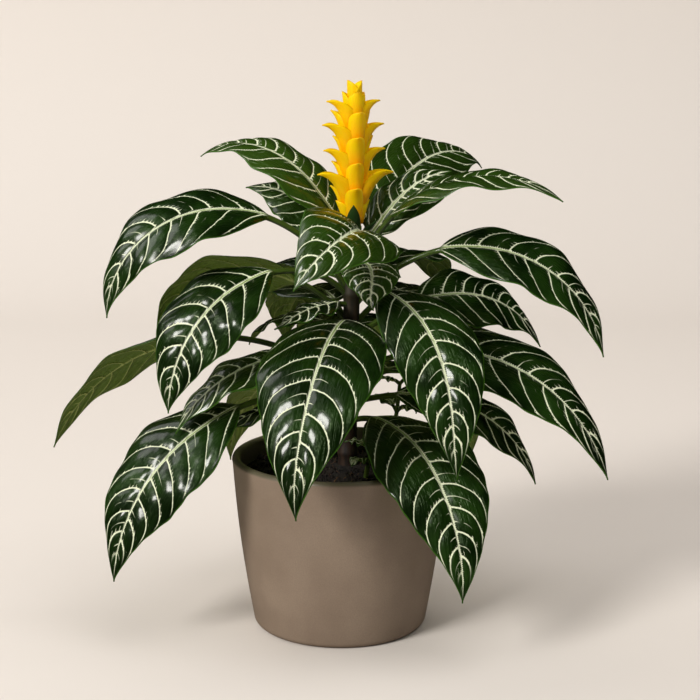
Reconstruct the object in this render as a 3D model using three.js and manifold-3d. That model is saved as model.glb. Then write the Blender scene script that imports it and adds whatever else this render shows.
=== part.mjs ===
// A potted aphelandra: a yellow spike of four-ranked bracts above glossy, arching leaves, in a tapered
// stoneware pot. Millimetres, +Z up. The origin is on the pot's axis, on the face the pot stands on.
import * as THREE from 'three';
import { mergeVertices } from 'three/addons/utils/BufferGeometryUtils.js';
import Module from 'manifold-3d';

const wasm = await Module();
wasm.setup();

const gap = 0.3;
const degree = Math.PI / 180;

// Pot
const potHeight = 121;
const potTopRadius = 75;
const potFootRadius = 60;
const potBulge = 2;
const potFootRound = 5;
const potWall = 6;
const potFloor = 8;
const potSides = 44;
const potLevels = [16, 50, 86];
const potCorner = 5;

// Soil
const soilTop = 107;
const soilMound = 5;
const soilLump = 1.2;

// Main stem, which leans a little as it rises
const stemFoot = { x: 4, y: 3, z: 70 };
const stemTop = { x: 9, y: 0, z: 271 };
const stemFootRadius = 6.6;
const stemTopRadius = 5.2;
const stemSides = 12;
const stemNodes = [122, 150, 178, 206, 234, 258];
const nodeSwell = 0.9;
const nodeLength = 4;

// Flower spike: curled pairs of bracts at the sides, with three upright ones between one pair and the next
const spikeFoot = 280;
const spikeLength = 96;
const spikeCore = { footRadius: 5.2, topRadius: 2.2, share: 0.94, sides: 8 };
const spikeLean = 1;
const tierStep = 8.4;
const tierFoot = 2;
const pairTurn = 20;
const tripleTurn = -76;
const bractCup = 2.1;
const bractForms = {
  young: { length: 17, rise: 78, fall: 66, bend: 1.5, inset: 6.6, radius: 4.8 },
  curled: { length: 30.5, rise: 77, fall: 6, bend: 2.3, inset: 7.2, radius: 6.8 },
  spread: { length: 33.5, rise: 73, fall: 2, bend: 2.2, inset: 7.2, radius: 7 },
  upright: { length: 26, rise: 83, fall: 42, bend: 2.6, inset: 8, radius: 6.2 },
  halfOpen: { length: 28, rise: 80, fall: 8, bend: 2.3, inset: 6.8, radius: 6.2 },
  bud: { length: 21, rise: 88, fall: 78, bend: 2, inset: 7, radius: 5.8 },
  tip: { length: 20, rise: 90, fall: 86, bend: 2, inset: 5, radius: 5.2 },
};
const bractTiers = ['young', 'upright', 'spread', 'upright', 'curled', 'upright', 'curled', 'upright',
  'halfOpen', 'bud', 'tip'];
const bractThickness = 0.9;
const bractHollow = 0.45;
const bractStations = [0, 0.35, 0.65, 0.87, 1];
const bractColumns = [-1, -0.5, 0.5, 1];
const spikeFlatness = 0.25;

// The joint under the spike and its green bracts
const collar = { foot: 271.3, top: 279.7, radius: 5.6 };
const greenBractTurns = [-90, -4, 90, 206];
const greenBractForm = { inset: 4.4, bend: 0.6, radius: 4.6, cup: 1.1 };
const frontGreenBract = { rise: 20, fall: 84, length: 27 };
const sideGreenBract = { rise: 8, fall: 62, length: 16 };
const collarFlatness = 0.1;

// Side shoots: foot, top, sideways bow, turn of the lowest pair, and each pair's height and leaf length
const shootFootRadius = 2;
const shootTopRadius = 1.3;
const shootStalkRadius = 1.1;
const shootSides = 7;
const shootLeaf = { swing: 0, rise: 48, fall: -25, bend: 1, lean: 0, twist: 0 };
const shootLeafStalk = 0.2;
const shootLeafWidth = 0.42;
const shoots = [
  { name: 'shoot_right', foot: { x: 26, y: 12, z: 92 }, top: { x: 42, y: 17, z: 168 }, bow: 3, turn: -60,
    pairs: [{ height: 146, length: 32 }, { height: 166, length: 26 }] },
  { name: 'shoot_front', foot: { x: 17, y: -26, z: 92 }, top: { x: 22, y: -36, z: 134 }, bow: -2, turn: 60,
    pairs: [{ height: 122, length: 28 }, { height: 132, length: 22 }] },
];

// Leaf blades
const bladeThickness = 0.8;
const stalkRadius = 2;
const stalkInset = 3;
const ribDepth = 1.3;
const leafFold = 0.2;
const leafDrape = 0.3;
const leafWave = 1.6;
const leafWaves = 3;

const leaves = [
  { name: 'leaf_left_crown', height: 264, heading: 158, swing: 0, rise: 64, fall: -36, bend: 1.7,
    length: 145, stalk: 22, width: 56, lean: 12, twist: 0 },
  { name: 'leaf_left_crown_inner', height: 257, heading: 150, swing: 0, rise: 54, fall: -10, bend: 1.5,
    length: 98, stalk: 14, width: 44, lean: 30, twist: 0 },
  { name: 'leaf_left_shoulder', height: 236, heading: 190, swing: 0, rise: 60, fall: -88, bend: 1.25,
    length: 224, stalk: 76, width: 62, lean: 10, twist: 30 },
  { name: 'leaf_left_back', height: 214, heading: 163, swing: 0, rise: 49, fall: -74, bend: 1.1,
    length: 176, stalk: 44, width: 54, lean: -42, twist: 8 },
  { name: 'leaf_front_crown', height: 258, heading: -67, swing: -94, rise: 54, fall: -58, bend: 0.95,
    length: 129, stalk: 20, width: 68, lean: 26, twist: 0, fold: 0.3 },
  { name: 'leaf_left_middle', height: 231, heading: -156, swing: 0, rise: 61, fall: -88, bend: 0.7,
    length: 188, stalk: 62, width: 63, lean: 0, twist: 52 },
  { name: 'leaf_left_far', height: 170, heading: 174, swing: 0, rise: 40, fall: -68, bend: 1,
    length: 250, stalk: 80, width: 48, lean: -30, twist: 0 },
  { name: 'leaf_left_low', height: 160, heading: -158, swing: 0, rise: 18, fall: -85, bend: 1,
    length: 230, stalk: 78, width: 69, lean: 0, twist: 45 },
  { name: 'leaf_left_between', height: 183, heading: -160, swing: 0, rise: 26, fall: -60, bend: 1,
    length: 140, stalk: 35, width: 46, lean: 10, twist: 0 },
  { name: 'leaf_left_small', height: 203, heading: 162, swing: 0, rise: 32, fall: -66, bend: 1.4,
    length: 84, stalk: 18, width: 40, lean: 0, twist: 0 },
  { name: 'leaf_front_middle', height: 212, heading: -103, swing: -10, rise: 30, fall: -85, bend: 0.7,
    length: 188, stalk: 14, width: 82, lean: 0, twist: 0 },
  { name: 'leaf_front_shadow', height: 226, heading: -146, swing: 0, rise: 12, fall: -35, bend: 1,
    length: 60, stalk: 8, width: 34, lean: 0, twist: 0 },
  { name: 'leaf_right_middle', height: 232, heading: -40, swing: -40, rise: 38, fall: -92, bend: 0.6,
    length: 179, stalk: 22, width: 60, lean: 0, twist: -35 },
  { name: 'leaf_right_low', height: 144, heading: -48, swing: -20, rise: 26, fall: -85, bend: 0.8,
    length: 184, stalk: 22, width: 70, lean: 0, twist: -26 },
  { name: 'leaf_right_shoulder', height: 226, heading: -8, swing: 0, rise: 52, fall: -80, bend: 1.1,
    length: 217, stalk: 70, width: 56, lean: -30, twist: 0 },
  { name: 'leaf_right_inner', height: 203, heading: 15, swing: 0, rise: 33, fall: -70, bend: 1.6,
    length: 158, stalk: 50, width: 60, lean: -30, twist: 0 },
  { name: 'leaf_right_far', height: 176, heading: -15, swing: 0, rise: 36, fall: -75, bend: 1,
    length: 219, stalk: 32, width: 60, lean: -30, twist: 0 },
  { name: 'leaf_right_small', height: 157, heading: -4, swing: 0, rise: 15, fall: -75, bend: 1.3,
    length: 155, stalk: 30, width: 48, lean: -25, twist: 0 },
  { name: 'leaf_right_crown', height: 262, heading: 54, swing: 0, rise: 46, fall: -34, bend: 1.5,
    length: 190, stalk: 20, width: 62, lean: -30, twist: 0 },
  { name: 'leaf_right_long', height: 244, heading: -16, swing: 0, rise: 73, fall: -34, bend: 1.1,
    length: 176, stalk: 50, width: 52, lean: -8, twist: 0 },
  { name: 'leaf_right_crown_inner', height: 255, heading: 20, swing: 0, rise: 60, fall: 0, bend: 2,
    length: 96, stalk: 20, width: 32, lean: -45, twist: 0 },
  { name: 'leaf_front_small', height: 251, heading: -53, swing: -60, rise: 44, fall: -74, bend: 0.75,
    length: 60, stalk: 10, width: 40, lean: 0, twist: 0 },
  { name: 'leaf_rim', height: 152, heading: -172, swing: 0, rise: 20, fall: -40, bend: 1,
    length: 92, stalk: 20, width: 46, lean: 0, twist: 0 },
  { name: 'leaf_back_low_left', height: 158, heading: 126, swing: 6, rise: 25, fall: -80, bend: 1,
    length: 190, stalk: 40, width: 70, lean: 0, twist: 10 },
  { name: 'leaf_back_low_right', height: 162, heading: 52, swing: -6, rise: 25, fall: -80, bend: 1,
    length: 190, stalk: 40, width: 70, lean: 0, twist: -10 },
  { name: 'leaf_back_middle', height: 190, heading: 90, swing: 5, rise: 32, fall: -80, bend: 1,
    length: 190, stalk: 34, width: 74, lean: 0, twist: 0 },
  { name: 'leaf_back_left', height: 208, heading: 114, swing: 0, rise: 40, fall: -75, bend: 1.1,
    length: 150, stalk: 30, width: 62, lean: 0, twist: 0 },
  { name: 'leaf_back_right', height: 210, heading: 52, swing: -4, rise: 34, fall: -75, bend: 1.1,
    length: 175, stalk: 30, width: 64, lean: 0, twist: 0 },
  { name: 'leaf_back_crown_left', height: 230, heading: 116, swing: 0, rise: 42, fall: -65, bend: 1,
    length: 140, stalk: 22, width: 56, lean: 0, twist: 0 },
  { name: 'leaf_back_crown_right', height: 233, heading: 52, swing: 0, rise: 46, fall: -65, bend: 1,
    length: 140, stalk: 22, width: 52, lean: 0, twist: 0 },
];

function mix(a, b, t) {
  return a + (b - a) * t;
}

function clamp(t) {
  return Math.min(1, Math.max(0, t));
}

// A merged, closed mesh as a solid, and back again.
function toSolid(geometry) {
  const loose = geometry.clone();
  loose.deleteAttribute('normal');
  loose.deleteAttribute('uv');
  const merged = mergeVertices(loose, 1e-4);
  const vertProperties = new Float32Array(merged.attributes.position.array);
  const triVerts = new Uint32Array(merged.index.array);
  return new wasm.Manifold(new wasm.Mesh({ numProp: 3, vertProperties, triVerts }));
}

function toGeometry(solid) {
  const mesh = solid.getMesh();
  const geometry = new THREE.BufferGeometry();
  geometry.setAttribute('position', new THREE.BufferAttribute(mesh.vertProperties, 3));
  geometry.setIndex(Array.from(mesh.triVerts));
  return geometry;
}

// The largest connected body of a solid: loose scraps and sealed hollows are left out.
function mainBody(solid) {
  let best = null;
  for (const piece of solid.decompose()) {
    if (!best || piece.volume() > best.volume()) best = piece;
  }
  return best;
}

function flipped(geometry) {
  const index = geometry.index.array;
  for (let i = 0; i < index.length; i += 3) [index[i], index[i + 1]] = [index[i + 1], index[i]];
  return geometry;
}

// A closed body between two alike grids of points, upper and lower, rows by columns.
function closedSheet(upper, lower) {
  const rows = upper.length;
  const cols = upper[0].length;
  const points = [...upper.flat(), ...lower.flat()].flatMap((p) => [p.x, p.y, p.z]);
  const below = rows * cols;
  const at = (i, j) => i * cols + j;
  const index = [];
  for (let i = 0; i + 1 < rows; i++) {
    for (let j = 0; j + 1 < cols; j++) {
      const [a, b, c, d] = [at(i, j), at(i + 1, j), at(i + 1, j + 1), at(i, j + 1)];
      index.push(a, b, c, a, c, d);
      index.push(below + a, below + c, below + b, below + a, below + d, below + c);
    }
  }
  const rim = [];
  for (let j = 0; j + 1 < cols; j++) rim.push(at(0, j));
  for (let i = 0; i + 1 < rows; i++) rim.push(at(i, cols - 1));
  for (let j = cols - 1; j > 0; j--) rim.push(at(rows - 1, j));
  for (let i = rows - 1; i > 0; i--) rim.push(at(i, 0));
  rim.forEach((a, k) => {
    const b = rim[(k + 1) % rim.length];
    index.push(a, b, below + b, a, below + b, below + a);
  });
  const geometry = new THREE.BufferGeometry();
  geometry.setAttribute('position', new THREE.Float32BufferAttribute(points, 3));
  geometry.setIndex(index);
  return flipped(geometry);
}

// A closed tube round a list of centres, each with its own radius and level ring.
function levelTube(rings, sides) {
  const points = [];
  for (const ring of rings) {
    for (let k = 0; k < sides; k++) {
      const turn = (2 * Math.PI * k) / sides;
      points.push(ring.x + ring.radius * Math.cos(turn), ring.y + ring.radius * Math.sin(turn), ring.z);
    }
  }
  const first = rings[0];
  const last = rings[rings.length - 1];
  const footCentre = rings.length * sides;
  const topCentre = footCentre + 1;
  points.push(first.x, first.y, first.z, last.x, last.y, last.z);
  const index = [];
  for (let k = 0; k < sides; k++) {
    const next = (k + 1) % sides;
    for (let i = 0; i + 1 < rings.length; i++) {
      const [a, b] = [i * sides + k, i * sides + next];
      index.push(a, b, b + sides, a, b + sides, a + sides);
    }
    const lastRow = (rings.length - 1) * sides;
    index.push(footCentre, next, k, topCentre, lastRow + k, lastRow + next);
  }
  const geometry = new THREE.BufferGeometry();
  geometry.setAttribute('position', new THREE.Float32BufferAttribute(points, 3));
  geometry.setIndex(index);
  return geometry;
}

// Stem

function stemCentre(z) {
  const t = (z - stemFoot.z) / (stemTop.z - stemFoot.z);
  return { x: mix(stemFoot.x, stemTop.x, t), y: mix(stemFoot.y, stemTop.y, t), z };
}

function stemRadius(z) {
  const t = clamp((z - stemFoot.z) / (stemTop.z - stemFoot.z));
  let swell = 0;
  for (const node of stemNodes) swell += nodeSwell * Math.exp(-(((z - node) / nodeLength) ** 2));
  return mix(stemFootRadius, stemTopRadius, t) + swell;
}

function stemRings(extra) {
  const levels = [stemFoot.z];
  for (const node of stemNodes) levels.push(node - 6, node, node + 6);
  levels.push(stemTop.z);
  return levels.map((z) => ({ ...stemCentre(z), radius: stemRadius(z) + extra }));
}

// The room that the stem and the joint on top of it take, with a gap all round.
function stemRoom() {
  const jointEnds = [stemTop.z + 0.01, collar.top + gap];
  const joint = jointEnds.map((z) => ({ ...spikeCentre(z), radius: collar.radius + gap }));
  return toSolid(levelTube([...stemRings(gap), ...joint], stemSides));
}

// Leaves

const pathSteps = 48;

// Width along a blade, from 0 at its foot through 1 at its widest to 0 at its pointed tip.
const footFullness = 0.72;
const tipSharpness = 1.22;

function bladeShape(b) {
  const widest = footFullness / (footFullness + tipSharpness);
  const peak = widest ** footFullness * (1 - widest) ** tipSharpness;
  return (clamp(b) ** footFullness * (1 - clamp(b)) ** tipSharpness) / peak;
}

function heading(leaf, t) {
  const rise = (leaf.rise + (leaf.fall - leaf.rise) * t ** leaf.bend) * degree;
  const turn = (leaf.heading + leaf.swing * t) * degree;
  return {
    rise,
    turn,
    along: new THREE.Vector3(Math.cos(rise) * Math.cos(turn), Math.cos(rise) * Math.sin(turn), Math.sin(rise)),
  };
}

function leafPath(leaf) {
  const axis = leaf.shoot ? shootCentre(leaf.shoot, leaf.height) : stemCentre(leaf.height);
  const inset = leaf.shoot ? 0 : stalkInset;
  const turn = leaf.heading * degree;
  const points = [new THREE.Vector3(axis.x + inset * Math.cos(turn), axis.y + inset * Math.sin(turn), axis.z)];
  const step = leaf.length / pathSteps;
  for (let i = 0; i < pathSteps; i++) {
    points.push(points[i].clone().addScaledVector(heading(leaf, (i + 0.5) / pathSteps).along, step));
  }
  return points;
}

// The point of a leaf's middle surface at t along it and s across it, with the direction out of its face.
function leafPoint(leaf, path, t, s, stalk = stalkRadius) {
  const place = clamp(t) * pathSteps;
  const i = Math.min(pathSteps - 1, Math.floor(place));
  const centre = path[i].clone().lerp(path[i + 1], place - i);
  const { turn, along } = heading(leaf, clamp(t));
  const side = new THREE.Vector3(Math.sin(turn), -Math.cos(turn), 0);
  const up = side.clone().cross(along);
  const roll = (leaf.lean + leaf.twist * t) * degree;
  const across = side.multiplyScalar(Math.cos(roll)).addScaledVector(up, Math.sin(roll));
  const out = across.clone().cross(along);
  const b = (t - leaf.stalk / leaf.length) / (1 - leaf.stalk / leaf.length);
  const half = Math.max(0.5, (leaf.width / 2) * bladeShape(b));
  const halfWidth = b < 0.5 ? Math.max(stalk, half) : half;
  const onBlade = clamp(b * 8);
  const wave = leafWave * Math.sin(2 * Math.PI * leafWaves * b + leaf.heading + (s > 0 ? 1.9 : 0));
  const droop = half * ((leaf.fold ?? leafFold) * Math.abs(s) - leafDrape * s * s);
  const lift = onBlade * (droop + wave * s * s * Math.sin(Math.PI * clamp(b)));
  centre.addScaledVector(across, halfWidth * s).addScaledVector(out, lift);
  return { centre, out, b };
}

function leafGeometry(leaf, stalk = stalkRadius) {
  const path = leafPath(leaf);
  let [bladeRows, columns] = [7, [-1, -0.5, 0, 0.5, 1]];
  if (leaf.length > 160 && !leaf.name.includes('back')) {
    [bladeRows, columns] = [8, [-1, -0.62, -0.22, 0, 0.22, 0.62, 1]];
  }
  if (leaf.shoot) [bladeRows, columns] = [4, [-1, 0, 1]];
  const stalkShare = leaf.stalk / leaf.length;
  const rows = [0, stalkShare * 0.5];
  for (let i = 0; i <= bladeRows; i++) rows.push(mix(stalkShare, 1, (i / bladeRows) ** 1.15));
  const upper = [];
  const lower = [];
  for (const t of rows) {
    const upperRow = [];
    const lowerRow = [];
    for (const s of columns) {
      const { centre, out, b } = leafPoint(leaf, path, t, s, stalk);
      const round = Math.sqrt(Math.max(0, 1 - s * s));
      const stalky = 1 - clamp(b * 6);
      const rib = clamp(1 - Math.abs(s) * 4) * ribDepth * (1 - clamp(b)) * (1 - stalky);
      const top = bladeThickness / 2 + stalky * stalk * 0.8 * round;
      const under = bladeThickness / 2 + stalky * stalk * 0.8 * round + rib;
      upperRow.push(centre.clone().addScaledVector(out, top));
      lowerRow.push(centre.clone().addScaledVector(out, -under));
    }
    upper.push(upperRow);
    lower.push(lowerRow);
  }
  return closedSheet(upper, lower);
}

// Side shoots

function shootCentre(shoot, z) {
  const t = (z - shoot.foot.z) / (shoot.top.z - shoot.foot.z);
  const bow = shoot.bow * Math.sin(Math.PI * t);
  return { x: mix(shoot.foot.x, shoot.top.x, t) + bow, y: mix(shoot.foot.y, shoot.top.y, t), z };
}

function shootTube(shoot, extra) {
  const rings = [0, 0.25, 0.5, 0.75, 1].map((t) => {
    const z = mix(shoot.foot.z, shoot.top.z, t);
    return { ...shootCentre(shoot, z), radius: mix(shootFootRadius, shootTopRadius, t) + extra };
  });
  return toSolid(levelTube(rings, shootSides));
}

// Small leaves in opposite pairs, each pair a quarter turn from the last.
function shootSolid(shoot) {
  let solid = shootTube(shoot, 0);
  shoot.pairs.forEach(({ height, length }, k) => {
    for (const half of [0, 180]) {
      const place = { shoot, height, heading: shoot.turn + 90 * k + half };
      const size = { length, stalk: length * shootLeafStalk, width: length * shootLeafWidth };
      solid = solid.add(toSolid(leafGeometry({ ...shootLeaf, ...place, ...size }, shootStalkRadius)));
    }
  });
  return mainBody(solid);
}

// Flower spike

function spikeCentre(z) {
  const foot = stemCentre(stemTop.z);
  const t = (z - stemTop.z) / (spikeFoot + spikeLength - stemTop.z);
  return { x: foot.x + spikeLean * t, y: foot.y, z };
}

// A boat-shaped bract, hollowed near its tip: it rises close to the axis, then its tip curls outward.
function bractGeometry(bract) {
  const turn = bract.turn * degree;
  const away = new THREE.Vector3(Math.cos(turn), Math.sin(turn), 0);
  const side = new THREE.Vector3(Math.sin(turn), -Math.cos(turn), 0);
  const upright = new THREE.Vector3(0, 0, 1);
  const start = spikeCentre(bract.height);
  const centre = new THREE.Vector3(start.x, start.y, start.z).addScaledVector(away, bract.inset);
  const upper = [];
  const lower = [];
  let before = 0;
  for (const t of bractStations) {
    const rise = mix(bract.rise, bract.fall, t ** bract.bend) * degree;
    const along = away.clone().multiplyScalar(Math.cos(rise)).addScaledVector(upright, Math.sin(rise));
    const inward = side.clone().cross(along);
    centre.addScaledVector(along, bract.length * (t - before));
    before = t;
    const cup = bract.cup * (0.65 + 0.35 * clamp(t * 2.5)) * (1 - 0.55 * t * t);
    const width = bract.radius * Math.max(0.06, 1 - Math.abs((t - 0.46) / 0.54) ** 2.6);
    const radius = width / Math.sin(Math.min(cup, Math.PI / 2));
    const depth = radius * (1 - Math.cos(cup));
    const upperRow = [];
    const lowerRow = [];
    for (const share of bractColumns) {
      const across = centre.clone().addScaledVector(side, radius * Math.sin(share * cup));
      const outer = radius * (1 - Math.cos(share * cup));
      const hollow = bractHollow * clamp((t - 0.6) * 5) * (1 - share * share);
      const inner = Math.max(outer + bractThickness, depth * (1 - hollow));
      lowerRow.push(across.clone().addScaledVector(inward, outer));
      upperRow.push(across.clone().addScaledVector(inward, inner));
    }
    upper.push(upperRow);
    lower.push(lowerRow);
  }
  return closedSheet(upper, lower);
}

// Pairs and threes of bracts take turns up the spike, from small young ones at its foot to buds at its top.
function spikeBracts() {
  const bracts = [];
  bractTiers.forEach((form, tier) => {
    const isPair = tier % 2 === 0;
    const count = isPair ? 2 : 3;
    for (let k = 0; k < count; k++) {
      bracts.push({
        ...bractForms[form],
        turn: (isPair ? pairTurn : tripleTurn) + (k * 360) / count,
        height: spikeFoot + Math.max(1, tierFoot + (tier - 1) * tierStep),
        cup: bractCup,
      });
    }
  });
  return bracts;
}

// Upright leafy bracts on the joint that carries the spike, with a collar that fills the joint.
function greenBractSolid() {
  const { foot, top, radius } = collar;
  const rings = [foot, (foot + top) / 2, top].map((z) => ({ ...spikeCentre(z), radius }));
  let solid = toSolid(levelTube(rings, stemSides));
  greenBractTurns.forEach((turn, k) => {
    const form = { ...greenBractForm, ...(k % 2 ? sideGreenBract : frontGreenBract) };
    solid = solid.add(toSolid(bractGeometry({ ...form, turn, height: foot + 2 })));
  });
  return mainBody(solid.simplify(collarFlatness));
}

function spikeSolid() {
  const core = [0, 0.25, 0.5, 0.75, 1].map((share) => {
    const z = spikeFoot + share * spikeLength * spikeCore.share;
    return { ...spikeCentre(z), radius: mix(spikeCore.footRadius, spikeCore.topRadius, share) };
  });
  let solid = toSolid(levelTube(core, spikeCore.sides));
  for (const bract of spikeBracts()) solid = solid.add(toSolid(bractGeometry(bract)));
  return mainBody(solid.simplify(spikeFlatness));
}

// Pot and soil

function potWallRadius(z) {
  const t = z / potHeight;
  return mix(potFootRadius, potTopRadius, t) + potBulge * Math.sin(Math.PI * t);
}

function lathe(profile, sides) {
  const points = profile.map(([radius, z]) => new THREE.Vector2(radius, z));
  return new THREE.LatheGeometry(points, sides).rotateX(Math.PI / 2);
}

function potGeometry() {
  const profile = [[0, 0]];
  for (let k = 0; k <= 3; k++) {
    const turn = (k / 3) * (Math.PI / 2);
    const centre = potWallRadius(potFootRound) - potFootRound;
    profile.push([centre + potFootRound * Math.sin(turn), potFootRound * (1 - Math.cos(turn))]);
  }
  for (const z of potLevels) profile.push([potWallRadius(z), z]);
  const lip = potWall / 2;
  for (let k = 0; k <= 6; k++) {
    const turn = (k / 6) * Math.PI;
    profile.push([potTopRadius - lip + lip * Math.cos(turn), potHeight - lip + lip * Math.sin(turn)]);
  }
  for (const z of [...potLevels].reverse()) profile.push([potWallRadius(z) - potWall, z]);
  profile.push([potWallRadius(potFloor) - potWall - potCorner, potFloor], [0, potFloor]);
  return lathe(profile, potSides);
}

function soilHeight(x, y) {
  const far = Math.hypot(x, y) / potTopRadius;
  const lump = Math.sin(x * 0.21 + 1) * Math.sin(y * 0.24) + 0.6 * Math.sin(x * 0.43 + y * 0.37 + 2);
  return soilTop + soilMound * (1 - far * far) + soilLump * lump;
}

function soilSolid() {
  const sides = potSides;
  const clear = potWall + gap;
  const rings = [0.3, 0.66, 1].map((share) => share * (potWallRadius(soilTop) - clear - gap));
  const points = [];
  const levels = [potFloor + gap, ...potLevels];
  const loops = levels.map((z, i) => {
    const radius = potWallRadius(z) - clear - (i ? 0 : potCorner);
    return { radius, level: () => z };
  });
  for (const radius of rings.reverse()) loops.push({ radius, level: soilHeight });
  for (const { radius, level } of loops) {
    for (let k = 0; k < sides; k++) {
      const turn = (2 * Math.PI * k) / sides;
      const [x, y] = [radius * Math.cos(turn), radius * Math.sin(turn)];
      points.push(x, y, level(x, y));
    }
  }
  points.push(0, 0, levels[0], 0, 0, soilHeight(0, 0));
  const index = [];
  const foot = loops.length * sides;
  for (let k = 0; k < sides; k++) {
    const next = (k + 1) % sides;
    for (let i = 0; i + 1 < loops.length; i++) {
      const [a, b] = [i * sides + k, i * sides + next];
      index.push(a, b, b + sides, a, b + sides, a + sides);
    }
    const last = (loops.length - 1) * sides;
    index.push(foot, next, k, foot + 1, last + k, last + next);
  }
  const geometry = new THREE.BufferGeometry();
  geometry.setAttribute('position', new THREE.Float32BufferAttribute(points, 3));
  geometry.setIndex(index);
  return toSolid(geometry);
}

// The whole plant

const plant = new THREE.Group();

function add(name, geometry, color, roughness) {
  const mesh = new THREE.Mesh(geometry, new THREE.MeshStandardMaterial({ color, roughness, metalness: 0 }));
  mesh.name = name;
  plant.add(mesh);
}

const stemClearance = stemRoom();
let soil = soilSolid().subtract(stemClearance);
for (const shoot of shoots) soil = soil.subtract(shootTube(shoot, gap));
add('pot', potGeometry(), 0x8c7a68, 0.6);
add('soil', toGeometry(mainBody(soil)), 0x1d140e, 0.95);
add('stem', levelTube(stemRings(0), stemSides), 0x3a2a22, 0.6);
for (const leaf of leaves) {
  const blade = toSolid(leafGeometry(leaf)).subtract(stemClearance);
  add(leaf.name, toGeometry(mainBody(blade)), 0x1f4a22, 0.35);
}
for (const shoot of shoots) add(shoot.name, toGeometry(shootSolid(shoot)), 0x4a6b2c, 0.5);
add('green_bracts', toGeometry(greenBractSolid()), 0x2f5a24, 0.45);
add('spike', toGeometry(spikeSolid()), 0xe8b010, 0.5);

export default plant;
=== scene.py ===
import math

import bmesh
import bpy
import numpy as np
from mathutils import Matrix, Vector


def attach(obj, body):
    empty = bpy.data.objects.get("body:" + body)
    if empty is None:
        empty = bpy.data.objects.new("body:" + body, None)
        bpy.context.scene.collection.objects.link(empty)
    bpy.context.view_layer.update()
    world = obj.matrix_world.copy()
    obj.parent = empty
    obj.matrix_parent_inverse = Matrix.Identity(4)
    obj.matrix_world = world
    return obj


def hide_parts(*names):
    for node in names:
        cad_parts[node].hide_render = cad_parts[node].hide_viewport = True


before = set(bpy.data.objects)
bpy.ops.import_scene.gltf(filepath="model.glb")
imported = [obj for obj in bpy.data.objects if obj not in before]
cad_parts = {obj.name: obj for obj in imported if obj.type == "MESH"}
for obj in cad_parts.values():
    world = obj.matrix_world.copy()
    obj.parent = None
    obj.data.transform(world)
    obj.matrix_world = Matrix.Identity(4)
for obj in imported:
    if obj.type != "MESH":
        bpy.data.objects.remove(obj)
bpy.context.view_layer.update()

mm = 0.001
degree = math.pi / 180
quarter = math.pi / 2


def linear(red, green, blue):
    # a screen colour from 0 to 255, as the linear values that a shader takes
    parts = [part / 255 for part in (red, green, blue)]
    return tuple(p / 12.92 if p <= 0.04045 else ((p + 0.055) / 1.055) ** 2.4 for p in parts) + (1.0,)


def mix(a, b, t):
    return a + (b - a) * t


# Meshes. Sizes are in millimetres until a mesh is made.

def linked(name, mesh):
    piece = bpy.data.objects.new(name, mesh)
    bpy.context.collection.objects.link(piece)
    return piece


def smoothPiece(build, name):
    mesh = bpy.data.meshes.new(name)
    build.to_mesh(mesh)
    build.free()
    mesh.shade_smooth()
    return linked(name, mesh)


def meshPiece(name, points, quads, attributes=None):
    # quads are rows of four point numbers
    mesh = bpy.data.meshes.new(name)
    mesh.vertices.add(len(points))
    mesh.vertices.foreach_set("co", (np.asarray(points) * mm).astype(np.float32).ravel())
    mesh.loops.add(quads.size)
    mesh.loops.foreach_set("vertex_index", quads.astype(np.int32).ravel())
    mesh.polygons.add(len(quads))
    mesh.polygons.foreach_set("loop_start", np.arange(0, quads.size, 4, dtype=np.int32))
    mesh.update(calc_edges=True)
    for key, values in (attributes or {}).items():
        layer = mesh.attributes.new(key, "FLOAT_VECTOR", "POINT")
        layer.data.foreach_set("vector", values.astype(np.float32).ravel())
    mesh.shade_smooth()
    return linked(name, mesh)


def closedSheet(top, bottom):
    # a closed skin between two alike grids, rows by columns, with the top grid's face outwards
    rows, cols = top.shape[:2]
    points = np.concatenate([top.reshape(-1, 3), bottom.reshape(-1, 3)])
    at = np.arange(rows * cols).reshape(rows, cols)
    below = at + rows * cols
    a, b, c, d = at[:-1, :-1], at[1:, :-1], at[1:, 1:], at[:-1, 1:]
    upper = np.stack([a, d, c, b], -1).reshape(-1, 4)
    lower = np.stack([a, b, c, d], -1).reshape(-1, 4) + rows * cols
    rim = np.concatenate([at[0, :-1], at[:-1, -1], at[-1, :0:-1], at[:0:-1, 0]])
    low = np.concatenate([below[0, :-1], below[:-1, -1], below[-1, :0:-1], below[:0:-1, 0]])
    edge = np.stack([np.roll(rim, -1), rim, low, np.roll(low, -1)], -1)
    return points, np.concatenate([upper, lower, edge]), len(upper), len(lower)


def turned(profile, sides, name):
    # a closed solid of revolution from a profile of (radius, height), both ends on the axis
    middle = profile[1:-1]
    angles = np.arange(sides) * 2 * math.pi / sides
    ring = np.stack([np.cos(angles), np.sin(angles)], -1)
    points = [np.array([[0, 0, profile[0][1]], [0, 0, profile[-1][1]]])]
    for radius, height in middle:
        points.append(np.column_stack([ring * radius, np.full(sides, height)]))
    build = bmesh.new()
    verts = [build.verts.new(point * mm) for point in np.concatenate(points)]
    last = 2 + (len(middle) - 1) * sides
    for k in range(sides):
        n = (k + 1) % sides
        build.faces.new((verts[0], verts[2 + n], verts[2 + k]))
        for low in range(2, last, sides):
            high = low + sides
            build.faces.new((verts[low + k], verts[low + n], verts[high + n], verts[high + k]))
        build.faces.new((verts[last + k], verts[last + n], verts[1]))
    return smoothPiece(build, name)


def skinned(build, rows):
    # faces from each ring of points to the next, with a cap at both ends
    for lower, upper in zip(rows, rows[1:]):
        for k in range(len(lower)):
            n = (k + 1) % len(lower)
            build.faces.new((lower[k], lower[n], upper[n], upper[k]))
    build.faces.new(list(reversed(rows[0])))
    build.faces.new(rows[-1])


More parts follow.
